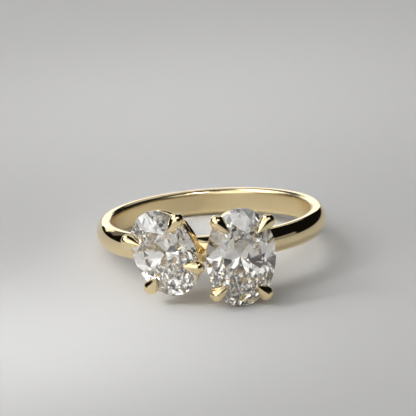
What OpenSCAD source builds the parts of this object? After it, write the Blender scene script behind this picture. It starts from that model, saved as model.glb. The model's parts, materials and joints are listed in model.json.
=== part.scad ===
// Ring with two oval stones side by side, one upright and one leaning, each held by its own
// four-claw basket. Band, baskets and claws are soldered into one piece of metal.
// The ring lies on its side, as it rests by itself: +Z is up and z = 0 is the surface under it.
// It touches that surface at the low end of the upright stone and at one place on the band.

/* [Band] */
// Inner diameter of the band, which is the finger size
finger_d = 16.5; // [15:0.1:20]
// Width of the band along the finger
band_w = 2.14; // [1.6:0.02:3]
// Thickness of the band at its middle
band_t = 1.34; // [1:0.02:2]
// Radius of the rounded outside, seen in section
dome_r = 1.35; // [1.3:0.05:4]
// Radius of the shoulder between the flat side and the rounded outside
shoulder_r = 0.34; // [0.1:0.01:0.4]
// Radius of the inner edges, where the finger slides in
edge_r = 0.4; // [0.2:0.01:0.5]

/* [Upright stone] */
// Length of the upright stone
upright_l = 8.06; // [7:0.02:10]
// Width of the upright stone
upright_w = 5.66; // [5:0.02:7]
// Lean of the upright stone, positive to the left as the tables are seen
upright_lean = -4.7; // [-12:0.1:12]
// Shift of the upright stone along the finger
upright_shift = -0.1; // [-1:0.05:1]

/* [Leaning stone] */
// Length of the leaning stone
leaning_l = 7.24; // [6:0.02:9]
// Width of the leaning stone
leaning_w = 5.24; // [4.5:0.02:6]
// Lean of the leaning stone, positive to the left as the tables are seen
leaning_lean = 22.3; // [10:0.1:35]
// Shift of the leaning stone along the finger
leaning_shift = 0.6; // [-1:0.05:1]

/* [Cut] */
// Width of the table as a share of the stone's width
table_share = 0.58; // [0.5:0.01:0.66]
// Height of the crown as a share of the stone's width
crown_share = 0.15; // [0.11:0.005:0.17]
// Depth of the pavilion as a share of the stone's width
pavilion_share = 0.46; // [0.4:0.005:0.48]
// Reach of the star facets from the table's edge to the girdle, as a share
star_share = 0.5; // [0.4:0.01:0.6]
// Reach of the lower half facets from the girdle to the culet, as a share
lower_share = 0.77; // [0.65:0.01:0.85]
// Thickness of the girdle where it is thickest
girdle_t = 0.2; // [0.12:0.01:0.3]

/* [Heads] */
// Gap between the two stones where their girdles come closest
stones_gap = 0.47; // [0.4:0.01:1.5]
// Height of the girdles over the outside of the band
head_h = 2.92; // [2.85:0.01:4]
// Gap between the metal and a stone
seat_gap = 0.03; // [0.02:0.01:0.06]

/* [Claws] */
// Place of the upright stone's claws on the oval, as an angle from its long axis
upright_claws = 44; // [38:1:52]
// Place of the leaning stone's claws on the oval, as an angle from its long axis
leaning_claws = 56; // [46:1:58]
// Turn of the claws from the way straight out of the girdle towards the long axis
claw_turn = 6; // [0:1:10]
// Diameter of a claw at its round shoulder
claw_d = 1.2; // [1.06:0.01:1.24]
// Diameter of a claw at its tip
claw_tip_d = 0.18; // [0.12:0.02:0.3]
// Fullness of a claw's sides between shoulder and tip, where 1 is straight
claw_fullness = 1.4; // [1.1:0.1:2]
// Reach of the upper claws from shoulder to tip, inwards over the stone
upper_claw_reach = 1.14; // [1:0.02:1.3]
// Reach of the lower claws from shoulder to tip, inwards over the stone
lower_claw_reach = 1.02; // [1:0.02:1.3]
// Distance of the upper claws' shoulders outside the girdle
upper_claw_out = 0.13; // [0.05:0.01:0.25]
// Distance of the lower claws' shoulders outside the girdle
lower_claw_out = 0.03; // [0:0.01:0.2]
// Height of the shoulder's centre above the middle of the girdle
claw_up = 0.34; // [0.2:0.01:0.5]
// Diameter of a claw's stem at its shoulder
stem_top_d = 0.92; // [0.88:0.01:0.94]
// Diameter of a claw's stem at the lower rail
stem_foot_d = 0.7; // [0.6:0.02:0.72]
// Diameter of the ball of solder at the foot of a claw
foot_ball_d = 0.9; // [0.84:0.02:1]

/* [Rails] */
// Wire diameter of the upper rail, which runs under the girdle
upper_rail_d = 0.58; // [0.5:0.02:0.6]
// Depth of the upper rail's centre below the middle of the girdle
upper_rail_drop = 0.94; // [0.85:0.01:1.2]
// Distance of the upper rail's outside inwards from the girdle
upper_rail_in = 0.14; // [0.05:0.01:0.3]
// Wire diameter of the lower rail, which is soldered to the band
lower_rail_d = 0.74; // [0.7:0.02:0.76]
// Size of the lower rail as a share of the stone's size
lower_rail_share = 0.6; // [0.5:0.01:0.62]
// Height of the lower rail's centre over the outside of the band
lower_rail_h = 0.06; // [0:0.01:0.2]

/* [Rest] */
// Where the band touches the surface, as an angle round the finger from its back to the left
touch_angle = 23; // [0:1:50]

/* [Hidden] */
$fn = 64;

finger_r = finger_d / 2;
band_r = finger_r + band_t;
girdle_r = band_r + head_h;

// Steps of the curves that are drawn as polygons
EDGE_STEPS = 4;
SHOULDER_STEPS = 4;
DOME_STEPS = 16;
BALL_STEPS = 6;
SIDE_STEPS = 6;
TIP_STEPS = 2;

// A round cut has 8 main facets, with a half facet on each side of every one, and the girdle's
// edge is drawn with 4 steps along each half facet. An oval is that cut, drawn wider and longer.
MAINS = 8;
HALVES = 2 * MAINS;
STEPS = 4;
RIM = HALVES * STEPS;
half_pitch = 360 / HALVES;
half_mid = cos(half_pitch / 2);
star_r = table_share * cos(half_pitch) * (1 - star_share) + star_share;
lower_r = (1 - lower_share) / cos(half_pitch);

// The heads stand as far to each side of the ring's front as the widths of the stones ask for.
function half_across(l, w, lean) = norm([l * sin(lean), w * cos(lean)]) / 2;
across = half_across(upright_l, upright_w, upright_lean)
    + half_across(leaning_l, leaning_w, leaning_lean);
head_angle = asin((across + stones_gap) / 2 / girdle_r);

// Each stone is a row of length, width, lean, angle round the finger, shift along the finger and
// place of its claws.
UPRIGHT = [upright_l, upright_w, upright_lean, head_angle, upright_shift, upright_claws];
LEANING = [leaning_l, leaning_w, leaning_lean, -head_angle, leaning_shift, leaning_claws];
function long_r(stone) = stone[0] / 2;
function short_r(stone) = stone[1] / 2;
function lean(stone) = stone[2];
function bearing(stone) = stone[3];
function shift(stone) = stone[4];
function claws_at(stone) = stone[5];
function crown_h(stone) = crown_share * stone[1];
function pavilion_h(stone) = pavilion_share * stone[1];

function arc(centre, r, from, to, steps) =
    [for (i = [0 : steps]) let (a = from + (to - from) * i / steps) centre + r * [cos(a), sin(a)]];

// Points of one stone: x along its width, y along its length, z up from the girdle's middle
function oval(stone, share, a, z) = [short_r(stone) * share * cos(a), long_r(stone) * share * sin(a), z];
function half_dip(a) = cos(a % half_pitch - half_pitch / 2) - half_mid;
function star_z(stone) = crown_h(stone) * (1 - star_r * cos(half_pitch)) / (1 - table_share);
function lower_z(stone) = pavilion_h(stone) * (1 - lower_r * cos(half_pitch));
function rim_top(stone, a) = girdle_t / 2 - half_dip(a) * star_z(stone) / ((1 - star_r) * half_mid);
function rim_low(stone, a) = -girdle_t / 2 + half_dip(a) * lower_z(stone) / ((1 - lower_r) * half_mid);
function rim_angle(i) = i * 360 / RIM;
function main_angle(k) = 2 * k * half_pitch;
function star_angle(k) = (2 * k + 1) * half_pitch;
function table_points(stone) =
    [for (k = [0 : MAINS - 1]) oval(stone, table_share, main_angle(k), girdle_t / 2 + crown_h(stone))];
function star_points(stone) =
    [for (k = [0 : MAINS - 1]) oval(stone, star_r, star_angle(k), girdle_t / 2 + star_z(stone))];
function rim_points(stone) = concat(
    [for (i = [0 : RIM - 1]) oval(stone, 1, rim_angle(i), rim_top(stone, rim_angle(i)))],
    [for (i = [0 : RIM - 1]) oval(stone, 1, rim_angle(i), rim_low(stone, rim_angle(i)))]);
function lower_points(stone) =
    [for (k = [0 : MAINS - 1]) oval(stone, lower_r, star_angle(k), -girdle_t / 2 - lower_z(stone))];
function culet(stone) = [[0, 0, -girdle_t / 2 - pavilion_h(stone)]];
function stone_points(stone) = concat(
    table_points(stone), star_points(stone), rim_points(stone), lower_points(stone), culet(stone));

// Facets, as places in that list. A half facet reaches from its star or lower point to the rim.
STAR_AT = MAINS;
TOP_AT = STAR_AT + MAINS;
LOW_AT = TOP_AT + RIM;
LOWER_AT = LOW_AT + RIM;
CULET_AT = LOWER_AT + MAINS;
function after(i, count) = (i + 1) % count;
function before(i, count) = (i + count - 1) % count;
function rim_span(at, h) = [for (i = [0 : STEPS]) at + (h * STEPS + i) % RIM];
function backwards(list) = [for (i = [len(list) - 1 : -1 : 0]) list[i]];
FACETS = concat(
    [backwards([for (k = [0 : MAINS - 1]) k])],
    [for (k = [0 : MAINS - 1]) [k, after(k, MAINS), STAR_AT + k]],
    [for (k = [0 : MAINS - 1])
        [k, STAR_AT + k, TOP_AT + 2 * k * STEPS, STAR_AT + before(k, MAINS)]],
    [for (h = [0 : HALVES - 1]) concat([STAR_AT + floor(h / 2)], backwards(rim_span(TOP_AT, h)))],
    [for (i = [0 : RIM - 1])
        [TOP_AT + i, TOP_AT + after(i, RIM), LOW_AT + after(i, RIM), LOW_AT + i]],
    [for (h = [0 : HALVES - 1]) concat([LOWER_AT + floor(h / 2)], rim_span(LOW_AT, h))],
    [for (k = [0 : MAINS - 1])
        [CULET_AT, LOWER_AT + before(k, MAINS), LOW_AT + 2 * k * STEPS, LOWER_AT + k]]);

// From a stone's frame to the ring's: finger along Z, and the middle of the heads towards -Y
function turned(p, a) = [p.x * cos(a) - p.y * sin(a), p.x * sin(a) + p.y * cos(a), p.z];
function on_ring(stone, p) =
    let (q = turned(p, lean(stone)))
    turned([q.x, -girdle_r - q.z, q.y + shift(stone)], bearing(stone));
module at_head(stone) {
    rotate([0, 0, bearing(stone)])
        translate([0, -girdle_r, shift(stone)])
            rotate([90, 0, 0])
                rotate([0, 0, lean(stone)])
                    children();
}

// Section of the band: flat sides, and a rounded outside that meets them in small shoulders
shoulder_z = band_w / 2 - shoulder_r;
dome_at = band_r - dome_r;
shoulder_at = dome_at + sqrt(pow(dome_r - shoulder_r, 2) - pow(shoulder_z, 2));
dome_end = atan2(shoulder_z, shoulder_at - dome_at);
dome_next = dome_end * (1 - 2 / DOME_STEPS);
BAND_SECTION = concat(
    arc([finger_r + edge_r, edge_r - band_w / 2], edge_r, 180, 270, EDGE_STEPS),
    arc([shoulder_at, -shoulder_z], shoulder_r, -90, -dome_end, SHOULDER_STEPS),
    arc([dome_at, 0], dome_r, -dome_next, dome_next, DOME_STEPS - 2),
    arc([shoulder_at, shoulder_z], shoulder_r, dome_end, 90, SHOULDER_STEPS),
    arc([finger_r + edge_r, band_w / 2 - edge_r], edge_r, 90, 180, EDGE_STEPS));

// How the ring lies: turned about the tangent of the band's lower shoulder where it touches, until
// the low end of the upright stone touches too.
touch_line = [cos(touch_angle), sin(touch_angle), 0];
touch_out = [-sin(touch_angle), cos(touch_angle), 0];
touch_centre = shoulder_at * touch_out - [0, 0, shoulder_z];
function lowest(points, up) = min([for (p = points) p * up]);
function tilt_to(point) =
    let (v = point - touch_centre, out = v * touch_out)
    atan2(out, v.z) + acos(-shoulder_r / sqrt(out * out + v.z * v.z));
UPRIGHT_ON_RING = [for (p = stone_points(UPRIGHT)) on_ring(UPRIGHT, p)];
rest_tilt = max([for (p = UPRIGHT_ON_RING) if (p.z < 0) -tilt_to(p)]);
rest_up = sin(-rest_tilt) * touch_out + [0, 0, cos(rest_tilt)];
rest_h = shoulder_r - touch_centre * rest_up;

// How far front and back reach once the ring is turned, for the middle of its box
back_way = [0, 1, 0] - touch_out.y * (touch_out * (1 - cos(rest_tilt)) - [0, 0, sin(rest_tilt)]);
back_y = band_r * norm([back_way.x, back_way.y]);
SHOULDERS = [for (stone = [UPRIGHT, LEANING], x = [-1, 1], y = [-1, 1])
    on_ring(stone, claw_shoulder(stone, [x, y]))];
front_y = lowest(SHOULDERS, back_way) - claw_d / 2;
box_y = (back_y + front_y) / 2;
module at_rest() {
    translate([0, -box_y, rest_h])
        rotate(-rest_tilt, touch_line)
            children();
}

module band() {
    rotate_extrude()
        polygon(BAND_SECTION);
}

// A wire bent to an oval of four arcs. The arcs meet at corner in the claws' stems, and each ends
// a little short of that point, so that no two of them share a face.
wire_short = 0.02;
module oval_wire(long, short, corner, d) {
    for (turn = [0, 180])
        rotate([0, 0, turn]) {
            wire_arc(short, corner.x, corner.y, d);
            rotate([0, 0, 90])
                wire_arc(long, corner.y, corner.x, d);
        }
}

// One arc of wire over [far, 0], between the claws that stand at [near, side] and [near, -side]
module wire_arc(far, near, side, d) {
    r = (pow(far - near, 2) + side * side) / (2 * (far - near));
    half = atan2(side, near - far + r) - wire_short / r * 180 / PI;
    translate([far - r, 0, 0])
        rotate([0, 0, -half])
            rotate_extrude(angle = 2 * half)
                translate([r, 0, 0])
                    circle(d = d);
}

// Turns +Z towards q as seen from p, and starts there
module from_to(p, q) {
    v = q - p;
    translate(p)
        rotate([0, acos(v.z / norm(v)), atan2(v.y, v.x)])
            children();
}

// A claw over the stone, as a drop: a round shoulder, full sides and a small round tip
module claw_drop(length) {
    r = claw_d / 2;
    tip_r = claw_tip_d / 2;
    function side_r(at) = tip_r + (r - tip_r) * (1 - pow(at, claw_fullness));
    rotate_extrude()
        polygon(concat(
            arc([0, 0], r, -90, 0, BALL_STEPS),
            [for (i = [1 : SIDE_STEPS - 1]) [side_r(i / SIDE_STEPS), length * i / SIDE_STEPS]],
            arc([0, length], tip_r, 0, 90, TIP_STEPS)));
}

// Where a claw stands: the point of the girdle that it holds, and the way out from there.
// sides is [1, 1] in the first quarter of the oval, and -1 mirrors a claw to another quarter.
function claw_foot(stone, sides) =
    let (a = claws_at(stone))
    [sides.x * short_r(stone) * sin(a), sides.y * long_r(stone) * cos(a), 0];
function claw_way(stone, sides) =
    let (a = claws_at(stone), out = atan2(cos(a) / long_r(stone), sin(a) / short_r(stone)) + claw_turn)
    [sides.x * cos(out), sides.y * sin(out), 0];
function claw_out(sides) = sides.y > 0 ? upper_claw_out : lower_claw_out;
function claw_reach(sides) = sides.y > 0 ? upper_claw_reach : lower_claw_reach;
function claw_shoulder(stone, sides) =
    claw_foot(stone, sides) + claw_out(sides) * claw_way(stone, sides) + [0, 0, claw_up];

// A claw's stem runs straight from the lower rail to the shoulder.
lower_rail_z = band_r + lower_rail_h - girdle_r;
function stem_foot(stone, sides) = lower_rail_share * claw_foot(stone, sides) + [0, 0, lower_rail_z];
function on_stem(stone, z) =
    let (p = stem_foot(stone, [1, 1]), q = claw_shoulder(stone, [1, 1]))
    p + (q - p) * (z - p.z) / (q.z - p.z);

// How far the stone reaches from the claw's foot along a direction of out and up
function reach(stone, foot, way, out, up) =
    max([for (p = stone_points(stone)) out * ((p - foot) * way) + up * p.z]);

// One claw: stem, shoulder and tip, less the notch that takes the stone's edge. The notch is wider
// than the claw, and the tip's centre stands a little over the crown.
notch_w = 3 * claw_d;
tip_up = claw_tip_d / 4;
module claw(stone, sides) {
    foot = claw_foot(stone, sides);
    way = claw_way(stone, sides);
    run = foot * way;
    crown_slope = atan(crown_h(stone) / (run * (1 - table_share)));
    pavilion_slope = atan(pavilion_h(stone) / run);
    over = reach(stone, foot, way, sin(crown_slope), cos(crown_slope)) + seat_gap;
    under = reach(stone, foot, way, sin(pavilion_slope), -cos(pavilion_slope)) + seat_gap;
    edge = reach(stone, foot, way, 1, 0) + seat_gap;
    function over_z(x) = (over - x * sin(crown_slope)) / cos(crown_slope);
    function under_z(x) = (x * sin(pavilion_slope) - under) / cos(pavilion_slope);
    tip_x = claw_out(sides) - claw_reach(sides);
    tip = foot + tip_x * way + [0, 0, over_z(tip_x) + tip_up];
    from = stem_foot(stone, sides);
    to = claw_shoulder(stone, sides);
    difference() {
        union() {
            from_to(to, tip)
                claw_drop(norm(tip - to));
            from_to(from, to)
                cylinder(h = norm(to - from), d1 = stem_foot_d, d2 = stem_top_d);
            translate(from)
                sphere(d = foot_ball_d);
        }
        translate(foot)
            rotate([90, 0, atan2(way.y, way.x)])
                linear_extrude(height = notch_w, center = true)
                    polygon([
                        [-run, over_z(-run)], [-run, under_z(-run)],
                        [edge, under_z(edge)], [edge, over_z(edge)]]);
    }
}

// One head: four claws, an upper rail under the girdle and a lower rail on the band
module head(stone) {
    inset = upper_rail_in + upper_rail_d / 2;
    upper = [long_r(stone) - inset, short_r(stone) - inset];
    lower = lower_rail_share * [long_r(stone), short_r(stone)];
    for (x = [-1, 1], y = [-1, 1])
        claw(stone, [x, y]);
    translate([0, 0, -upper_rail_drop])
        oval_wire(upper[0], upper[1], on_stem(stone, -upper_rail_drop), upper_rail_d);
    translate([0, 0, lower_rail_z])
        oval_wire(lower[0], lower[1], on_stem(stone, lower_rail_z), lower_rail_d);
}

module setting() {
    color("gold")
        at_rest() {
            band();
            at_head(UPRIGHT)
                head(UPRIGHT);
            at_head(LEANING)
                head(LEANING);
        }
}

module stone_cut(stone) {
    color("white", 0.6)
        at_rest()
            at_head(stone)
                polyhedron(points = stone_points(stone), faces = FACETS);
}

module upright_stone() {
    stone_cut(UPRIGHT);
}

module leaning_stone() {
    stone_cut(LEANING);
}

setting();
upright_stone();
leaning_stone();
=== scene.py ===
"""Looks of a gold ring with two oval stones: band, claw heads, diamonds and their stage."""
import json
import math

import bpy
import numpy as np
from bpy.props import FloatProperty, FloatVectorProperty, IntProperty, PointerProperty
from mathutils import Matrix, Vector


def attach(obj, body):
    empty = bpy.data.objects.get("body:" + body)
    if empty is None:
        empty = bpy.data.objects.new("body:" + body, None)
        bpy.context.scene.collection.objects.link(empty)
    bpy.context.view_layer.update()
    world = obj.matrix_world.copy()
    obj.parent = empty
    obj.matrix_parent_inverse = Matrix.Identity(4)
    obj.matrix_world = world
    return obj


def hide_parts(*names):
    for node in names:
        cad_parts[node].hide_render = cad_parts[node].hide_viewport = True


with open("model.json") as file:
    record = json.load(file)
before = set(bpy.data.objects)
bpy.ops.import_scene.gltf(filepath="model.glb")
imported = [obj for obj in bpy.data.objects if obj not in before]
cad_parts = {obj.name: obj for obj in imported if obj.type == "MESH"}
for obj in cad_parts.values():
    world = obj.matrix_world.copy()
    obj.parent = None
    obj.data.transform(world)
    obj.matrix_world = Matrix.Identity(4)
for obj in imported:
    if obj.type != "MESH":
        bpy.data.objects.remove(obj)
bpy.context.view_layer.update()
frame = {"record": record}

bl_info = {
    "name": "Two-stone ring",
    "version": (1, 0, 0),
    "blender": (4, 5, 0),
    "location": "3D View > Sidebar > Ring",
    "description": "Gold ring with two oval diamonds in claw heads, on a pale surface",
    "category": "Add Mesh",
}

# The packed part says where the finger's hole is. The ring's own frame has its middle there, the
# finger along Z and the heads towards -Y.
HOLE = next(m for m in frame["record"]["mounts"] if m["name"] == "finger_hole")
LIE = Vector((0, 0, 1)).rotation_difference(Vector(HOLE["axis"])).to_matrix().to_4x4()
AT_REST = Matrix.Translation(Vector(HOLE["pos_m"])) @ LIE
FINGER_R = HOLE["dims"]["r_mm"] / 1000

# Facets round the cut: the mains, and a half on each side of every main.
MAINS = 8
HALVES = 2 * MAINS

# Steps of the band's section, from corner to corner.
SIDE_STEPS = 7
WALL_STEPS = 13
CORNER_STEPS = 7
DOME_STEPS = 36

# Waves that hand polishing leaves in the band.
WAVES_SEED = 7
WAVES = 9
WAVE_TURNS = (3, 22)
WAVE_PHASES = (0, 6.28)

# Fine points of the heads.
BAND_FILLET = 1.5  # fillet of solder on the band, as a share of the fillet between two wires
BAND_FILLET_REACH = 2  # how far that solder goes from the wires, as the same share
TIP_OVER = 0.25  # height of a claw tip's centre over its facet, as a share of its diameter
GIRDLE_TILT = 0.1  # rise of the normal under which a facet belongs to the girdle
PLANE_DIGITS = 5  # decimals to which the normals of facets in one plane are the same
LEAST_LENGTH = 1e-9  # least divisor in the middle of a stone
LEAST_ALONG = 1e-6  # least share of the way along a claw, where its slope is still finite

# Meshing of the heads.
COARSE = 4  # steps from one coarse sample to the next
NEAR = 1.3  # reach of the fine samples from the surface, in coarse steps
BATCH = 200000  # fine samples worked out at once
MOVES = 3  # times that the points are moved on to the surface
PROBES_PER_STEP = 100  # a step over the reach of the probes that measure the slope
LEAST_STEEPNESS = 0.05  # least square of a slope, which keeps the moves small

# Noise in the finishes, in features per metre.
GOLD_CLOUD = 260.0
GOLD_SMEAR = 1500.0
GOLD_HAIR = 900.0
GOLD_HAIR_ALONG_AXIS = 16000.0
DIAMOND_HAZE = 2200.0
BOARD_TONE = 9.0
BOARD_TOOTH = 5000.0

# What the noise does to the finishes, and how they are shaded. Depths are in metres.
GOLD_ROUGH_RANGE = 0.05
GOLD_HAIR_STRENGTH = 0.25
GOLD_HAIR_DEPTH = 0.000002
GOLD_INSIDE_FADE = 0.0003
DIAMOND_ROUGH_LEAST = 0.7
DIAMOND_ROUGH_RANGE = 0.6
DIAMOND_SHADE = 0.99
BOARD_SHADE = 0.97
BOARD_ROUGH = 0.75
BOARD_TOOTH_STRENGTH = 0.1
BOARD_TOOTH_DEPTH = 0.00002

# The stage, in metres, and how often light may bounce in it.
FLOOR_HALF = 4.0
ROOM_COLOUR = (1.0, 0.98, 0.95, 1.0)
CLIP_START = 0.01
CLIP_END = 20
BOUNCES = 24
SURFACE_BOUNCES = 16

# Soft lights, each with the way to it and its height in degrees, its distance, its width and
# height in degrees as the ring sees it, its brightness, the spread of its beam and its target.
# The pools at the end are narrow beams, which brighten parts of the surface round the ring.
RING_AT = (0, 0, 0.003)
PANELS = (
    ("left_panel", -75, 30, 0.4, 24, 20, 2.2, 180, RING_AT),
    ("left_high_panel", -75, 62, 0.4, 60, 26, 0.6, 180, RING_AT),
    ("left_wide_panel", -70, 50, 0.4, 70, 32, 0.22, 180, RING_AT),
    ("front_panel", -30, 30, 0.4, 45, 38, 0.94, 180, RING_AT),
    ("front_low_panel", -20, 15, 0.4, 50, 26, 0.94, 180, RING_AT),
    ("camera_panel", -5, 45, 0.4, 40, 30, 0.35, 180, RING_AT),
    ("right_high_panel", 35, 55, 0.5, 40, 24, 0.98, 180, RING_AT),
    ("side_panel", -110, 50, 0.5, 40, 34, 1.66, 180, RING_AT),
    ("side_low_panel", -135, 22, 0.5, 30, 18, 0.15, 180, RING_AT),
    ("right_low_panel", 75, 7, 0.5, 40, 14, 0.23, 180, RING_AT),
    ("back_left_panel", -150, 14, 0.5, 30, 14, 1.1, 180, RING_AT),
    ("back_panel", -172, 7, 0.5, 44, 14, 1.25, 180, RING_AT),
    ("back_high_panel", 180, 45, 0.5, 40, 30, 0.7, 180, RING_AT),
    ("near_pool", -70, 40, 0.12, 12, 12, 0.36, 16, (-0.010, -0.017, 0)),
    ("left_pool", -70, 40, 0.12, 12, 12, 0.2, 14, (-0.016, -0.018, 0)),
    ("far_pool", -60, 50, 0.15, 12, 12, 0.34, 24, (0, 0.042, 0)),
    ("inner_pool", 20, 65, 0.12, 8, 8, 0.22, 8, (-0.0005, 0.0065, 0)),
)


# Properties

def size(name, description, default):
    return FloatProperty(name=name, description=description, default=default, min=0,
                         unit="LENGTH", precision=5)


def offset(name, description, default):
    return FloatProperty(name=name, description=description, default=default,
                         unit="LENGTH", precision=5)


def angle(name, description, default):
    return FloatProperty(name=name, description=description, default=math.radians(default),
                         subtype="ANGLE")


def share(name, description, default):
    return FloatProperty(name=name, description=description, default=default, min=0, max=1,
                         subtype="FACTOR")


def number(name, description, default):
    return FloatProperty(name=name, description=description, default=default, min=0)


def colour(name, description, default):
    return FloatVectorProperty(name=name, description=description, default=default, size=3,
                               min=0, max=1, subtype="COLOR")


class BandSizes(bpy.types.PropertyGroup):
    """Sizes of the plain band."""
    width: size("Width", "Width of the band along the finger", 0.00214)
    thickness: size("Thickness", "Thickness of the band at its middle", 0.00134)
    dome: size("Dome radius", "Radius of the rounded outside, seen in section", 0.00135)
    shoulder: size("Shoulder radius", "Radius between the flat side and the outside", 0.00034)
    edge: size("Inner edge radius", "Radius where the finger slides in", 0.0004)
    polished: size("Polished off", "What polishing takes off the surface", 0.000006)
    waver: size("Waver", "How far hand polishing leaves the surface off true", 0.000004)
    around: IntProperty(name="Steps around", description="Segments round the finger", default=600,
                        min=64)


class UprightStone(bpy.types.PropertyGroup):
    """The upright stone and its place."""
    length: size("Length", "Length of the stone", 0.00806)
    width: size("Width", "Width of the stone", 0.00566)
    lean: angle("Lean", "Lean to the left, as the table is seen", -4.7)
    bearing: angle("Bearing", "Angle round the finger from the ring's front", 14.10)
    shift: offset("Shift", "Shift along the finger", -0.0001)
    claws: angle("Claws", "Place of the claws on the oval, from its long axis", 44)


class LeaningStone(bpy.types.PropertyGroup):
    """The leaning stone and its place."""
    length: size("Length", "Length of the stone", 0.00724)
    width: size("Width", "Width of the stone", 0.00524)
    lean: angle("Lean", "Lean to the left, as the table is seen", 22.3)
    bearing: angle("Bearing", "Angle round the finger from the ring's front", -14.10)
    shift: offset("Shift", "Shift along the finger", 0.0006)
    claws: angle("Claws", "Place of the claws on the oval, from its long axis", 56)


class CutShape(bpy.types.PropertyGroup):
    """Proportions of the oval brilliant cut."""
    table: share("Table", "Width of the table as a share of the stone's width", 0.58)
    crown: share("Crown", "Height of the crown as a share of the stone's width", 0.15)
    pavilion: share("Pavilion", "Depth of the pavilion as a share of the stone's width", 0.46)
    star: share("Star", "Reach of the star facets from the table to the girdle", 0.5)
    lower: share("Lower halves", "Reach of the lower halves from the girdle to the culet", 0.77)
    girdle: size("Girdle", "Thickness of the girdle where it is thickest", 0.0002)
    polished: size("Polished off", "What polishing takes off the girdle", 0.000006)
    steps: IntProperty(name="Girdle steps", description="Steps along each half facet's rim",
                       default=8, min=1)


class HeadSizes(bpy.types.PropertyGroup):
    """Sizes of the claws and rails, which both heads share."""
    height: size("Height", "Height of the girdles over the outside of the band", 0.00292)
    gap: size("Seat gap", "Gap between the metal and a stone", 0.00003)
    turn: angle("Claw turn", "Turn of the claws towards the long axis", 6)
    claw: size("Claw", "Diameter of a claw at its round shoulder", 0.0012)
    tip: size("Claw tip", "Diameter of a claw at its tip", 0.00018)
    fullness: number("Claw fullness", "Fullness of a claw's sides, where 1 is straight", 1.4)
    upper_reach: size("Upper claws' reach", "Reach from their shoulders to their tips", 0.00114)
    lower_reach: size("Lower claws' reach", "Reach from their shoulders to their tips", 0.00102)
    upper_out: size("Upper claws out", "Distance of their shoulders outside the girdle", 0.00013)
    lower_out: size("Lower claws out", "Distance of their shoulders outside the girdle", 0.00003)
    up: size("Claw up", "Height of the shoulder's centre above the girdle", 0.00034)
    stem_top: size("Stem top", "Diameter of a claw's stem at its shoulder", 0.00092)
    stem_foot: size("Stem foot", "Diameter of a claw's stem at the lower rail", 0.0007)
    ball: size("Foot ball", "Diameter of the solder at the foot of a claw", 0.0009)
    upper_rail: size("Upper rail", "Wire diameter of the upper rail", 0.00058)
    upper_drop: size("Upper rail drop", "Depth of the upper rail below the girdle", 0.00094)
    upper_in: size("Upper rail inset", "Distance of the rail's outside from the girdle", 0.00014)
    lower_rail: size("Lower rail", "Wire diameter of the lower rail", 0.00074)
    lower_share: share("Lower rail size", "Size of the lower rail, of the stone's size", 0.6)
    lower_height: size("Lower rail height", "Height of the lower rail over the band", 0.00006)
    fillet: size("Fillet", "Reach of the solder where two wires meet", 0.00012)
    polished: size("Polished off", "What polishing takes off the metal", 0.00001)
    grain: size("Mesh step", "Step of the mesh of the heads", 0.000045)


class Finishes(bpy.types.PropertyGroup):
    """Colours and polish."""
    gold: colour("Gold", "Colour of the polished gold", (0.945, 0.79, 0.49))
    gold_warm: colour("Warm gold", "Colour of the gold where it is worn warmer",
                      (0.915, 0.748, 0.43))
    gold_rough: share("Gold roughness", "Roughness of the polished gold", 0.07)
    gold_inside: share("Inside roughness", "Roughness added on the inside of the band", 0.2)
    diamond: colour("Diamond", "Body colour of the stones", (0.995, 0.985, 0.945))
    diamond_rough: share("Diamond haze", "Roughness of the facets", 0.02)
    diamond_ior: number("Diamond index", "Refractive index of the stones", 2.42)
    floor: colour("Floor", "Colour of the surface", (0.8, 0.795, 0.785))


class StageLook(bpy.types.PropertyGroup):
    """Camera and light."""
    azimuth: angle("Azimuth", "Way to the camera, from the ring's front to the right", 3.3341)
    elevation: angle("Elevation", "Height of the camera over the surface", 20.4103)
    roll: angle("Roll", "Roll of the camera", -1.4143)
    distance: size("Distance", "Distance from the camera to the ring", 0.3)
    lens: number("Lens", "Focal length in millimetres", 311.777)
    aim: FloatVectorProperty(name="Aim", description="Point that the camera looks at", size=3,
                             default=(-0.0002858, 0.0026229, 0.0035768), unit="LENGTH",
                             precision=5)
    room: number("Room light", "Brightness of the dim room", 0.005)
    lights: number("Lights", "Brightness of all panels, as a share of their own", 1.0)


SETTINGS = {
    "ring_band": BandSizes,
    "ring_upright": UprightStone,
    "ring_leaning": LeaningStone,
    "ring_cut": CutShape,
    "ring_head": HeadSizes,
    "ring_finish": Finishes,
    "ring_stage": StageLook,
}


# Shader nodes

class Wire:
    """An output socket of a node tree. Arithmetic on it adds Math nodes."""

    def __init__(self, tree, socket):
        self.tree = tree
        self.socket = socket

    def maths(self, operation, *values):
        return node(self.tree, "Math", {"operation": operation}, dict(enumerate(values)))

    def __add__(self, other):
        return self.maths("ADD", self, other)

    def __radd__(self, other):
        return self.maths("ADD", other, self)

    def __sub__(self, other):
        return self.maths("SUBTRACT", self, other)

    def __rsub__(self, other):
        return self.maths("SUBTRACT", other, self)

    def __mul__(self, other):
        return self.maths("MULTIPLY", self, other)

    def __rmul__(self, other):
        return self.maths("MULTIPLY", other, self)

    def __pow__(self, other):
        return self.maths("POWER", self, other)


def node(tree, kind, settings=None, sockets=None, out=0):
    """Adds a node: its settings first, then the values or links of its sockets."""
    made = tree.nodes.new("ShaderNode" + kind)
    for name, value in (settings or {}).items():
        setattr(made, name, value)
    for key, value in (sockets or {}).items():
        if isinstance(value, Wire):
            tree.links.new(value.socket, made.inputs[key])
        else:
            made.inputs[key].default_value = value
    return Wire(tree, made.outputs[out]) if made.outputs else made


def blend_colours(tree, factor, first, second):
    """Colour between the first and the second, where a factor of 1 is the second."""
    # Mix has sockets of the same names for every kind of data, so the colours' go by number.
    sockets = {0: factor, 6: first, 7: second}
    return node(tree, "Mix", {"data_type": "RGBA"}, sockets, out=2)


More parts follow.
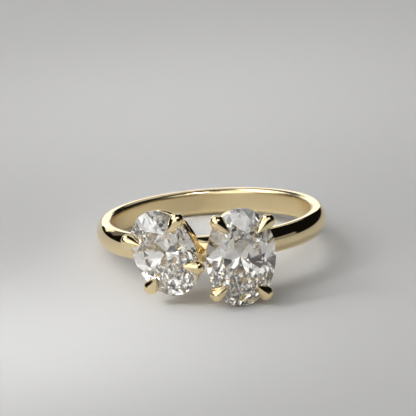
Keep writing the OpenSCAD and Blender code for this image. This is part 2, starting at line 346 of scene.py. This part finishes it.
def noise(tree, where, scale, detail, roughness=0.5):
    """Soft noise between 0 and 1."""
    sockets = {"Vector": where, "Scale": scale, "Detail": detail, "Roughness": roughness}
    return node(tree, "TexNoise", {}, sockets)


def vectors(tree, operation, sockets, out=0):
    """Adds a Vector Math node."""
    return node(tree, "VectorMath", {"operation": operation}, sockets, out)


def new_finish(name):
    """An empty finish, its node tree and the place of each point of a piece."""
    finish = bpy.data.materials.new(name)
    finish.use_nodes = True
    tree = finish.node_tree
    tree.nodes.clear()
    return finish, tree, node(tree, "TexCoord", {}, {}, out="Object")


def surface_of(tree, sockets):
    """The surface shader that ends a finish."""
    surface = node(tree, "BsdfPrincipled", {}, sockets)
    node(tree, "OutputMaterial", {}, {"Surface": surface})


def rgba(value, shade=1.0):
    """A colour with its alpha, darker by the shade."""
    return (*(c * shade for c in value), 1.0)


def gold_finish(looks):
    """Polished gold: faint cloudy warmth, and hair-fine lines from the polishing wheel."""
    finish, tree, where = new_finish("polished_gold")
    cloud = noise(tree, where, GOLD_CLOUD, detail=3.0)
    base = blend_colours(tree, cloud, rgba(looks.gold), rgba(looks.gold_warm))
    along = vectors(tree, "DOT_PRODUCT", {0: where, 1: HOLE["axis"]}, out="Value")
    lines = node(tree, "CombineXYZ", {}, {0: GOLD_HAIR_ALONG_AXIS * along})
    swept = vectors(tree, "MULTIPLY_ADD", {0: where, 1: (GOLD_HAIR,) * 3, 2: lines})
    hair = noise(tree, swept, 1.0, detail=4.0, roughness=0.6)
    smear = noise(tree, where, GOLD_SMEAR, detail=3.0)
    middle = vectors(tree, "SUBTRACT", {0: where, 1: HOLE["pos_m"]})
    across = vectors(tree, "CROSS_PRODUCT", {0: middle, 1: HOLE["axis"]})
    from_axis = vectors(tree, "LENGTH", {0: across}, out="Value")
    inside = node(tree, "MapRange", {"interpolation_type": "SMOOTHSTEP"},
                  {"Value": from_axis, "From Min": FINGER_R,
                   "From Max": FINGER_R + GOLD_INSIDE_FADE, "To Min": 1.0, "To Max": 0.0})
    rough = (looks.gold_rough + GOLD_ROUGH_RANGE * (smear * hair)
             + looks.gold_inside * inside)
    bump = node(tree, "Bump", {}, {"Strength": GOLD_HAIR_STRENGTH, "Distance": GOLD_HAIR_DEPTH,
                                   "Height": hair})
    surface_of(tree, {"Base Color": base, "Metallic": 1.0, "Roughness": rough, "Normal": bump})
    return finish


def diamond_finish(looks):
    """Clear stone: every facet polished, with the faintest haze that handling leaves."""
    finish, tree, where = new_finish("cut_diamond")
    haze = noise(tree, where, DIAMOND_HAZE, detail=4.0)
    base = blend_colours(tree, haze, rgba(looks.diamond), rgba(looks.diamond, DIAMOND_SHADE))
    rough = looks.diamond_rough * (DIAMOND_ROUGH_LEAST + DIAMOND_ROUGH_RANGE * haze)
    surface_of(tree, {"Base Color": base, "Roughness": rough, "IOR": looks.diamond_ior,
                      "Transmission Weight": 1.0})
    return finish


def floor_finish(looks):
    """Matte white board with a faint tooth."""
    finish, tree, where = new_finish("white_board")
    tone = noise(tree, where, BOARD_TONE, detail=2.0)
    base = blend_colours(tree, tone, rgba(looks.floor), rgba(looks.floor, BOARD_SHADE))
    tooth = noise(tree, where, BOARD_TOOTH, detail=3.0)
    bump = node(tree, "Bump", {}, {"Strength": BOARD_TOOTH_STRENGTH,
                                   "Distance": BOARD_TOOTH_DEPTH, "Height": tooth})
    surface_of(tree, {"Base Color": base, "Roughness": BOARD_ROUGH, "Normal": bump})
    return finish


# Pieces and their meshes

def add_piece(name, points, faces, place, finish, smooth=True):
    """A mesh object with one finish, whose points place moves into the shared frame."""
    mesh = bpy.data.meshes.new(name)
    mesh.from_pydata([tuple(p) for p in points], [], [tuple(f) for f in faces])
    mesh.validate()
    mesh.polygons.foreach_set("use_smooth", [smooth] * len(mesh.polygons))
    mesh.materials.append(finish)
    mesh.transform(place)
    mesh.update()
    piece = bpy.data.objects.new(name, mesh)
    bpy.context.scene.collection.objects.link(piece)
    return piece


def arc(centre, radius, start, end, steps):
    """Points along an arc, both ends included."""
    turn = np.linspace(start, end, steps + 1)
    return np.column_stack([centre[0] + radius * np.cos(turn), centre[1] + radius * np.sin(turn)])


class Section:
    """Section of the band: distances from the finger's axis, against distances z along it."""

    def __init__(self, sizes):
        self.inner = FINGER_R
        self.outer = FINGER_R + sizes.thickness
        self.half = sizes.width / 2
        self.dome = sizes.dome
        self.dome_at = self.outer - sizes.dome
        self.shoulder = sizes.shoulder
        self.shoulder_z = self.half - sizes.shoulder
        self.shoulder_at = self.dome_at + math.sqrt(
            (sizes.dome - sizes.shoulder) ** 2 - self.shoulder_z ** 2)
        self.edge = sizes.edge

    def outline(self):
        """Points of the section, from the lower inner edge round the outside."""
        end = math.atan2(self.shoulder_z, self.shoulder_at - self.dome_at)
        quarter = math.pi / 2
        edge_at = self.inner + self.edge
        edge_z = self.half - self.edge
        side = np.linspace(edge_at, self.shoulder_at, SIDE_STEPS + 1)[1:-1]
        wall = np.linspace(edge_z, -edge_z, WALL_STEPS + 1)[1:-1]
        return np.concatenate([
            arc((edge_at, -edge_z), self.edge, 2 * quarter, 3 * quarter, CORNER_STEPS),
            np.column_stack([side, np.full(len(side), -self.half)]),
            arc((self.shoulder_at, -self.shoulder_z), self.shoulder, -quarter, -end,
                CORNER_STEPS),
            arc((self.dome_at, 0), self.dome, -end, end, DOME_STEPS)[1:-1],
            arc((self.shoulder_at, self.shoulder_z), self.shoulder, end, quarter, CORNER_STEPS),
            np.column_stack([side[::-1], np.full(len(side), self.half)]),
            arc((edge_at, edge_z), self.edge, quarter, 2 * quarter, CORNER_STEPS),
            np.column_stack([np.full(len(wall), self.inner), wall])])

    def depth(self, points):
        """Distance of points in the ring's frame from the band's surface."""
        r = np.hypot(points[:, 0], points[:, 1])
        z = points[:, 2]
        dome = np.hypot(r - self.dome_at, z) - self.dome
        side = np.abs(z) - self.half
        return rounded(rounded(dome, side, self.shoulder), self.inner - r, self.edge)


def rounded(first, second, radius):
    """Distance from what two surfaces enclose, where their edge is rounded to a radius."""
    first, second = first + radius, second + radius
    outside = np.hypot(np.maximum(first, 0), np.maximum(second, 0))
    return outside + np.minimum(np.maximum(first, second), 0) - radius


def band_mesh(sizes):
    """The band as a lathe, drawn in by the few microns that hand polishing takes off."""
    outline = Section(sizes).outline()
    count = len(outline)
    turn = np.arange(sizes.around) * 2 * math.pi / sizes.around
    middle = np.array([FINGER_R + sizes.thickness / 2, 0])
    out = outline - middle
    out /= np.linalg.norm(out, axis=1)[:, None]
    rng = np.random.default_rng(WAVES_SEED)
    waves = [(rng.integers(*WAVE_TURNS), rng.uniform(*WAVE_PHASES), rng.uniform(*WAVE_PHASES))
             for _ in range(WAVES)]
    around, along = np.meshgrid(turn, np.arange(count) * 2 * math.pi / count, indexing="ij")
    waver = sum(np.sin(n * around + p + np.sin(along + q)) for n, p, q in waves) / len(waves)
    drawn_in = sizes.polished + sizes.waver * (1 + waver) / 2
    rz = outline[None] - out[None] * drawn_in[..., None]
    points = np.stack([rz[..., 0] * np.sin(turn)[:, None], -rz[..., 0] * np.cos(turn)[:, None],
                       rz[..., 1]], -1).reshape(-1, 3)
    i, j = np.meshgrid(np.arange(sizes.around), np.arange(count), indexing="ij")
    i2, j2 = (i + 1) % sizes.around, (j + 1) % count
    faces = np.stack([i * count + j, i2 * count + j, i2 * count + j2, i * count + j2], -1)
    return points, faces.reshape(-1, 4)


class Stone:
    """An oval brilliant: 8 main facets, with a half facet on each side of every one."""

    def __init__(self, stone, cut, head, band):
        self.short, self.long = stone.width / 2 - cut.polished, stone.length / 2 - cut.polished
        self.cut = cut
        self.crown, self.pavilion = cut.crown * stone.width, cut.pavilion * stone.width
        self.claws = stone.claws
        self.girdle_r = FINGER_R + band.thickness + head.height
        self.place = (Matrix.Rotation(stone.bearing, 4, "Z")
                      @ Matrix.Translation((0, -self.girdle_r, stone.shift))
                      @ Matrix.Rotation(math.radians(90), 4, "X")
                      @ Matrix.Rotation(stone.lean, 4, "Z"))
        self.points = self.all_points()

    def oval(self, reach, turn, z):
        """Point at a height z on the girdle's oval, or on a smaller one of that reach."""
        return (self.short * reach * math.cos(turn), self.long * reach * math.sin(turn), z)

    def all_points(self):
        """Table, stars' ends, upper and lower rim of the girdle, lower halves' ends and culet."""
        cut, pitch = self.cut, 2 * math.pi / HALVES
        half = cut.girdle / 2
        mid = math.cos(pitch / 2)
        star = cut.table * math.cos(pitch) * (1 - cut.star) + cut.star
        lower = (1 - cut.lower) / math.cos(pitch)
        star_z = self.crown * (1 - star * math.cos(pitch)) / (1 - cut.table)
        lower_z = self.pavilion * (1 - lower * math.cos(pitch))
        rim = [i * pitch / cut.steps for i in range(HALVES * cut.steps)]
        dip = [math.cos(a % pitch - pitch / 2) - mid for a in rim]
        mains = [2 * k * pitch for k in range(MAINS)]
        between = [a + pitch for a in mains]
        return ([self.oval(cut.table, a, half + self.crown) for a in mains]
                + [self.oval(star, a, half + star_z) for a in between]
                + [self.oval(1, a, half - d * star_z / ((1 - star) * mid))
                   for a, d in zip(rim, dip)]
                + [self.oval(1, a, d * lower_z / ((1 - lower) * mid) - half)
                   for a, d in zip(rim, dip)]
                + [self.oval(lower, a, -half - lower_z) for a in between]
                + [(0, 0, -half - self.pavilion)])

    def facets(self):
        """Table, stars, crown mains, upper halves, girdle, lower halves and pavilion mains."""
        steps = self.cut.steps
        rim = HALVES * steps
        star_at = MAINS
        top_at = star_at + MAINS
        low_at = top_at + rim
        lower_at = low_at + rim
        culet = lower_at + MAINS

        def span(at, half):
            return [at + (half * steps + i) % rim for i in range(steps + 1)]

        mains = range(MAINS)
        faces = [list(mains)]
        faces += [[k, star_at + k, (k + 1) % MAINS] for k in mains]
        faces += [[k, star_at + (k - 1) % MAINS, top_at + 2 * k * steps, star_at + k]
                  for k in mains]
        faces += [[star_at + h // 2] + span(top_at, h) for h in range(HALVES)]
        faces += [[top_at + i, low_at + i, low_at + (i + 1) % rim, top_at + (i + 1) % rim]
                  for i in range(rim)]
        faces += [[lower_at + h // 2] + span(low_at, h)[::-1] for h in range(HALVES)]
        faces += [[culet, lower_at + k, low_at + 2 * k * steps, lower_at + (k - 1) % MAINS]
                  for k in mains]
        return faces

    def planes(self):
        """Normals and distances of all facets but the girdle's."""
        points = np.array(self.points)
        rows = {}
        for face in self.facets():
            a, b, c = points[face[0]], points[face[1]], points[face[-1]]
            normal = np.cross(b - a, c - a)
            normal /= np.linalg.norm(normal)
            if abs(normal[2]) > GIRDLE_TILT:
                rows[tuple(np.round(normal, PLANE_DIGITS))] = (*normal, normal @ a)
        return np.array(list(rows.values()))

    def depth(self, points, planes):
        """Distance of points from the stone's surface, less than 0 inside it."""
        flat = (points @ planes[:, :3].T - planes[:, 3]).max(1)
        radii = np.array([self.short, self.long])
        once = np.linalg.norm(points[:, :2] / radii, axis=1)
        twice = np.linalg.norm(points[:, :2] / radii ** 2, axis=1)
        return np.maximum(flat, (once - 1) * once / np.maximum(twice, LEAST_LENGTH))


def melt(first, second, reach):
    """The nearer of two distances, with a fillet of solder where both are near."""
    near = np.maximum(reach - np.abs(first - second), 0) / reach
    return np.minimum(first, second) - near * near * reach / 4


def from_line(points, start, end):
    """How far points are along and off the line from start to end, and how long that is."""
    way = end - start
    length = np.linalg.norm(way)
    from_start = points - start
    along = from_start @ (way / length)
    off = np.sqrt(np.maximum((from_start ** 2).sum(1) - along ** 2, 0))
    return along, off, length


def tapered(points, start, end, start_r, end_r):
    """Distance from the hull of two balls."""
    along, off, length = from_line(points, start, end)
    slope = (start_r - end_r) / length
    at = np.clip(along - off * slope / math.sqrt(1 - slope * slope), 0, length)
    return np.hypot(off, along - at) - start_r + at * slope


def wire_oval(points, long, short, corner, radius, z):
    """Distance from a wire bent to four arcs, which meet at corner in each quarter."""
    flat = np.abs(points[:, :2])
    nearest = np.full(len(points), np.inf)
    for far, near, side, xy in ((short, corner[0], corner[1], flat),
                                (long, corner[1], corner[0], flat[:, ::-1])):
        bend = ((far - near) ** 2 + side * side) / (2 * (far - near))
        half = math.atan2(side, near - far + bend)
        rel = xy - [far - bend, 0]
        on_arc = np.abs(np.hypot(rel[:, 0], rel[:, 1]) - bend)
        at_end = np.hypot(xy[:, 0] - near, xy[:, 1] - side)
        within = np.arctan2(rel[:, 1], rel[:, 0]) <= half
        nearest = np.minimum(nearest, np.where(within, on_arc, at_end))
    return np.hypot(nearest, points[:, 2] - z) - radius


def drop(points, start, end, start_r, end_r, fullness):
    """Distance from a claw's drop: a round shoulder, full sides and a small round tip."""
    along, off, length = from_line(points, start, end)
    at = np.clip(along / length, LEAST_ALONG, 1)
    side_r = end_r + (start_r - end_r) * (1 - at ** fullness)
    fall = (start_r - end_r) * fullness * at ** (fullness - 1) / length
    side = (off - side_r) / np.sqrt(1 + fall * fall)
    side = np.where((along > 0) & (along < length), side, start_r)
    shoulder = np.hypot(off, along) - start_r
    tip = np.hypot(off, along - length) - end_r
    return np.minimum(np.minimum(shoulder, tip), side)


class Claw:
    """One claw in the first quarter of the oval. Its place is mirrored to the other quarters."""

    def __init__(self, stone, head, out, reach, low_z):
        self.head = head
        a = stone.claws
        girdle = np.array([stone.short * math.sin(a), stone.long * math.cos(a), 0])
        turn = math.atan2(math.cos(a) / stone.long, math.sin(a) / stone.short) + head.turn
        way = np.array([math.cos(turn), math.sin(turn), 0])
        self.shoulder = girdle + out * way + [0, 0, head.up]
        self.foot = head.lower_share * girdle + [0, 0, low_z]
        run = girdle @ way
        slope = math.atan(stone.crown / (run * (1 - stone.cut.table)))
        lean = np.array([math.sin(slope), math.cos(slope)])
        points = np.array(stone.points)
        over = max(lean[0] * ((points - girdle) @ way) + lean[1] * points[:, 2]) + head.gap
        tip_x = out - reach
        tip_z = (over - tip_x * lean[0]) / lean[1] + head.tip * TIP_OVER
        self.tip = girdle + tip_x * way + [0, 0, tip_z]

    def on_stem(self, z):
        """Point of the stem's middle line at a height z."""
        rise = self.shoulder - self.foot
        return self.foot + rise * (z - self.foot[2]) / rise[2]

    def depth(self, points):
        """Distance from the claw: its stem, its drop and the ball at its foot."""
        head = self.head
        return np.minimum.reduce([
            tapered(points, self.foot, self.shoulder, head.stem_foot / 2, head.stem_top / 2),
            drop(points, self.shoulder, self.tip, head.claw / 2, head.tip / 2, head.fullness),
            np.linalg.norm(points - self.foot, axis=1) - head.ball / 2])


class Head:
    """Claws and rails that hold one stone, as a field of distance in the stone's frame."""

    def __init__(self, stone, head, section):
        self.stone, self.head, self.section = stone, head, section
        self.planes = stone.planes()
        self.low_z = section.outer + head.lower_height - stone.girdle_r
        self.upper = Claw(stone, head, head.upper_out, head.upper_reach, self.low_z)
        self.lower = Claw(stone, head, head.lower_out, head.lower_reach, self.low_z)

    def depth(self, points):
        """Distance from the metal: claws, rails, the solder that joins them, and the seat."""
        head, stone, low_z = self.head, self.stone, self.low_z
        quarter = np.column_stack([np.abs(points[:, :2]), points[:, 2]])
        claw = np.empty(len(points))
        high = points[:, 1] > 0
        claw[high] = self.upper.depth(quarter[high])
        claw[~high] = self.lower.depth(quarter[~high])
        inset = head.upper_in + head.upper_rail / 2
        scale, rail_z = head.lower_share, -head.upper_drop
        upper = wire_oval(points, stone.long - inset, stone.short - inset,
                          self.upper.on_stem(rail_z), head.upper_rail / 2, rail_z)
        lower = wire_oval(points, scale * stone.long, scale * stone.short,
                          self.upper.on_stem(low_z), head.lower_rail / 2, low_z)
        metal = melt(melt(claw, upper, head.fillet), lower, head.fillet)
        place = np.array(stone.place)
        on_ring = points @ place[:3, :3].T + place[:3, 3]
        sunk = self.section.depth(on_ring) + head.gap / 2
        joined = np.maximum(melt(metal, sunk, BAND_FILLET * head.fillet),
                            metal - BAND_FILLET_REACH * head.fillet)
        seat = head.gap - stone.depth(points, self.planes)
        return head.polished - melt(-joined, -seat, head.gap)

    def box(self):
        """Corners of a box round the head, with a little room."""
        room = self.head.claw
        top = np.maximum(self.upper.shoulder, [self.stone.short, self.stone.long, 0]) + room
        return np.array([-top[0], -top[1], self.low_z - room]), top


CORNERS = [np.array(c) for c in np.ndindex(2, 2, 2)]


def sampled(depth, low, high, step):
    """Depth at the corners of all cells, worked out finely only near the surface."""
    counts = (np.ceil((high - low) / step / COARSE).astype(int) + 1) * COARSE
    coarse_axes = [np.arange(n // COARSE + 1) for n in counts]
    grid = np.stack(np.meshgrid(*coarse_axes, indexing="ij"), -1)
    coarse = depth(low + grid.reshape(-1, 3) * step * COARSE).reshape(grid.shape[:3])
    values = coarse[np.ix_(*[(np.arange(n) + COARSE // 2) // COARSE for n in counts])]
    near = np.argwhere(np.abs(values) < NEAR * COARSE * step)
    for part in np.array_split(near, max(len(near) // BATCH, 1)):
        values[tuple(part.T)] = depth(low + part * step)
    return values


def crossed(inside):
    """The cells with corners on both sides of the surface."""
    span = np.array(inside.shape) - 1
    filled = sum(inside[tuple(slice(c, c + n) for c, n in zip(corner, span))].astype(int)
                 for corner in CORNERS)
    return np.argwhere((filled > 0) & (filled < len(CORNERS)))


def in_cells(values, cells):
    """For each cell, the middle of the points where the surface cuts the cell's edges."""
    total, hits = np.zeros((len(cells), 3)), np.zeros(len(cells))
    for a in CORNERS:
        for b in CORNERS:
            if (b - a).sum() == 1 and (b >= a).all():
                va, vb = values[tuple((cells + a).T)], values[tuple((cells + b).T)]
                cut = (va < 0) != (vb < 0)
                t = np.where(cut, va / np.where(cut, va - vb, 1), 0)
                total += np.where(cut[:, None], a + t[:, None] * (b - a), 0)
                hits += cut
    return total / hits[:, None]


def on_to(depth, points, step):
    """The small move that takes each point on to the surface."""
    tiny = step / PROBES_PER_STEP
    here = depth(points)
    slope = np.column_stack([(depth(points + d) - depth(points - d)) / (2 * tiny)
                             for d in np.eye(3) * tiny])
    steep = np.maximum((slope ** 2).sum(1), LEAST_STEEPNESS)
    move = np.clip(here / steep, -step / 2, step / 2)
    return slope * move[:, None]


def quads(inside, index, axis):
    """A face across each edge along the axis that the surface cuts, turned to the outside."""
    here = np.moveaxis(inside, axis, 0)
    cuts = np.argwhere(here[:-1] != here[1:])
    solid = here[:-1][tuple(cuts.T)]
    edge = np.empty_like(cuts)
    edge[:, [axis, *(a for a in range(3) if a != axis)]] = cuts
    ring = []
    for du, dv in ((0, 0), (1, 0), (1, 1), (0, 1)):
        cell = edge.copy()
        cell[:, (axis + 1) % 3] -= du
        cell[:, (axis + 2) % 3] -= dv
        ring.append(index[tuple(cell.T)])
    quad = np.column_stack(ring)
    return np.where(solid[:, None], quad, quad[:, ::-1])


def skin(depth, low, high, step):
    """Mesh of the surface where depth is 0, with one point in each cell that it crosses."""
    values = sampled(depth, low, high, step)
    inside = values < 0
    cells = crossed(inside)
    points = low + (cells + in_cells(values, cells)) * step
    for _ in range(MOVES):
        points = points - on_to(depth, points, step)
    index = np.full(np.array(values.shape) - 1, -1)
    index[tuple(cells.T)] = np.arange(len(cells))
    return points, np.concatenate([quads(inside, index, axis) for axis in range(3)])


# Operators

def finish_named(name, make, looks):
    """The finish of that name, which is made when it isn't there yet."""
    return bpy.data.materials.get(name) or make(looks)


class RING_OT_band(bpy.types.Operator):
    """Add the plain gold band"""
    bl_idname = "ring.band"
    bl_label = "Band"

    def execute(self, context):
        scene = context.scene
        gold = finish_named("polished_gold", gold_finish, scene.ring_finish)
        points, faces = band_mesh(scene.ring_band)
        piece = add_piece("band", points, faces, AT_REST, gold)
        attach(piece, "root")
        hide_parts("setting")
        return {"FINISHED"}


def stones(scene):
    """Name and shape of each stone."""
    for name in ("upright", "leaning"):
        sizes = getattr(scene, "ring_" + name)
        yield name, Stone(sizes, scene.ring_cut, scene.ring_head, scene.ring_band)


class RING_OT_heads(bpy.types.Operator):
    """Add the two claw heads"""
    bl_idname = "ring.heads"
    bl_label = "Claw heads"

    def execute(self, context):
        scene = context.scene
        gold = finish_named("polished_gold", gold_finish, scene.ring_finish)
        section = Section(scene.ring_band)
        for name, stone in stones(scene):
            head = Head(stone, scene.ring_head, section)
            step = scene.ring_head.grain * 1
            points, faces = skin(head.depth, *head.box(), step)
            if not len(faces):
                raise RuntimeError("The head of the %s stone has no surface" % name)
            piece = add_piece(name + "_head", points, faces, AT_REST @ stone.place, gold)
            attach(piece, "root")
            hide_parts("setting")
        return {"FINISHED"}


class RING_OT_diamonds(bpy.types.Operator):
    """Add the two oval diamonds"""
    bl_idname = "ring.diamonds"
    bl_label = "Diamonds"

    def execute(self, context):
        scene = context.scene
        clear = finish_named("cut_diamond", diamond_finish, scene.ring_finish)
        for name, stone in stones(scene):
            piece = add_piece(name + "_diamond", stone.points, stone.facets(),
                              AT_REST @ stone.place, clear, smooth=False)
            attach(piece, "root")
            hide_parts(name + "_stone")
        return {"FINISHED"}


def towards(azimuth, elevation):
    """The way to something, from the ring's front to the right and up."""
    return Vector((math.cos(elevation) * math.sin(azimuth),
                   -math.cos(elevation) * math.cos(azimuth), math.sin(elevation)))


def facing(target, way, distance):
    """The place of a light or camera that lies that way from its target and faces it."""
    return (Matrix.Translation(Vector(target) + way * distance)
            @ way.to_track_quat("Z", "Y").to_matrix().to_4x4())


def add_floor(board):
    """The surface that the ring lies on."""
    corners = [(x * FLOOR_HALF, y * FLOOR_HALF, 0)
               for x, y in ((-1, -1), (1, -1), (1, 1), (-1, 1))]
    return add_piece("floor", corners, [(0, 1, 2, 3)], Matrix.Identity(4), board)


def dim_room(strength):
    """The little light that comes from all round."""
    world = bpy.data.worlds.new("dim_room")
    world.use_nodes = True
    tree = world.node_tree
    tree.nodes.clear()
    sky = node(tree, "Background", {}, {"Color": ROOM_COLOUR, "Strength": strength})
    node(tree, "OutputWorld", {}, {"Surface": sky})
    return world


def add_panel(name, azimuth, elevation, distance, across, high, brightness, spread, target):
    """A flat white light of even brightness, turned to its target."""
    light = bpy.data.lights.new(name, "AREA")
    light.shape = "RECTANGLE"
    light.size = 2 * distance * math.tan(math.radians(across / 2))
    light.size_y = 2 * distance * math.tan(math.radians(high / 2))
    light.energy = brightness * math.pi * light.size * light.size_y
    light.spread = math.radians(spread)
    panel = bpy.data.objects.new(name, light)
    bpy.context.scene.collection.objects.link(panel)
    way = towards(math.radians(azimuth), math.radians(elevation))
    panel.matrix_world = facing(target, way, distance)


def add_camera(look):
    """The camera, looking at its aim from its way and distance."""
    camera = bpy.data.cameras.new("camera")
    camera.lens = look.lens
    camera.clip_start, camera.clip_end = CLIP_START, CLIP_END
    eye = bpy.data.objects.new("camera", camera)
    bpy.context.scene.collection.objects.link(eye)
    way = towards(look.azimuth, look.elevation)
    eye.matrix_world = (facing(look.aim, way, look.distance)
                        @ Matrix.Rotation(look.roll, 4, "Z"))
    return eye


class RING_OT_stage(bpy.types.Operator):
    """Add the surface, the soft lights and the camera"""
    bl_idname = "ring.stage"
    bl_label = "Stage"

    def execute(self, context):
        scene, look = context.scene, context.scene.ring_stage
        floor = add_floor(finish_named("white_board", floor_finish, scene.ring_finish))
        scene.world = dim_room(look.room)
        for *place, brightness, spread, target in PANELS:
            add_panel(*place, brightness * look.lights, spread, target)
        scene.camera = add_camera(look)
        scene.view_settings.view_transform = "Standard"
        scene.cycles.max_bounces = BOUNCES
        scene.cycles.glossy_bounces = SURFACE_BOUNCES
        scene.cycles.transmission_bounces = SURFACE_BOUNCES
        return {"FINISHED"}


class VIEW3D_PT_ring(bpy.types.Panel):
    """Sizes, finishes and steps of the ring"""
    bl_label = "Two-stone ring"
    bl_space_type = "VIEW_3D"
    bl_region_type = "UI"
    bl_category = "Ring"

    def draw(self, context):
        for name, group in SETTINGS.items():
            box = self.layout.box()
            box.label(text=group.__doc__)
            for field in group.__annotations__:
                box.prop(getattr(context.scene, name), field)
        for operator in OPERATORS:
            self.layout.operator(operator.bl_idname)


OPERATORS = (RING_OT_stage, RING_OT_band, RING_OT_heads, RING_OT_diamonds)
CLASSES = (*SETTINGS.values(), *OPERATORS, VIEW3D_PT_ring)


def register():
    for cls in CLASSES:
        bpy.utils.register_class(cls)
    for name, group in SETTINGS.items():
        setattr(bpy.types.Scene, name, PointerProperty(type=group))


def unregister():
    for name in SETTINGS:
        delattr(bpy.types.Scene, name)
    for cls in reversed(CLASSES):
        bpy.utils.unregister_class(cls)


def main():
    register()
    bpy.ops.ring.stage()
    bpy.ops.ring.band()
    bpy.ops.ring.heads()
    bpy.ops.ring.diamonds()


if __name__ == "__main__":
    main()
